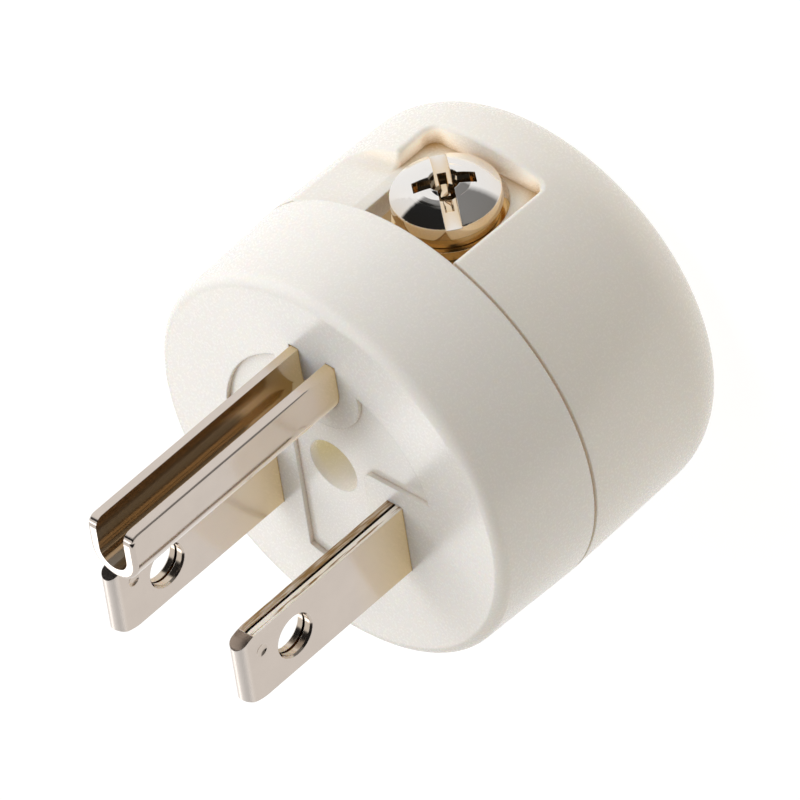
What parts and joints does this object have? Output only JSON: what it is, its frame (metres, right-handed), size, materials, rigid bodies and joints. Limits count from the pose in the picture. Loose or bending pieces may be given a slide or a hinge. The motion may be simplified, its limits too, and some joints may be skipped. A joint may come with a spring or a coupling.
{
  "type": "plug adapter",
  "caption": "Round moulded plug adapter with two folded blades, a channel earth pin, a screw terminal in a side recess and a two-slot socket face behind.",
  "frame": {"origin": "centre of the flat socket face, on the axis of the round body", "axes": "+Z out along the blades and the earth pin, +Y from the blades to the earth pin and the terminal screw, X across the two blades"},
  "size_m": [0.0342, 0.0342, 0.0483],
  "materials": {
    "moulded_body": "glossy ivory moulding",
    "nickel_plate": "bright nickel plate",
    "inner_steel": "zinc-plated steel"
  },
  "bodies": {
    "housing": {"front_body": "moulded_body", "rear_cover": "moulded_body", "line_blade": "nickel_plate", "neutral_blade": "nickel_plate", "earth_pin": "nickel_plate", "terminal_plate": "nickel_plate", "terminal_nut": "inner_steel", "joining_screw": "inner_steel"},
    "washers": {"flat_washer": "nickel_plate", "spring_washer": "inner_steel"},
    "screw": {"terminal_screw": "nickel_plate"}
  },
  "joints": [
    {"name": "terminal_lift", "type": "slide", "parent": "housing", "child": "washers", "axis": [0, 1, 0], "range_m": [0, 0.0021]},
    {"name": "terminal_turn", "type": "hinge", "parent": "washers", "child": "screw", "pos_m": [0, 0.0158, 0.01095], "axis": [0, 1, 0], "range_deg": [0, 1080]}
  ],
  "couplings": [
    {"joint": "terminal_turn", "follows": "terminal_lift", "rad_per_m": 8975.9}
  ]
}
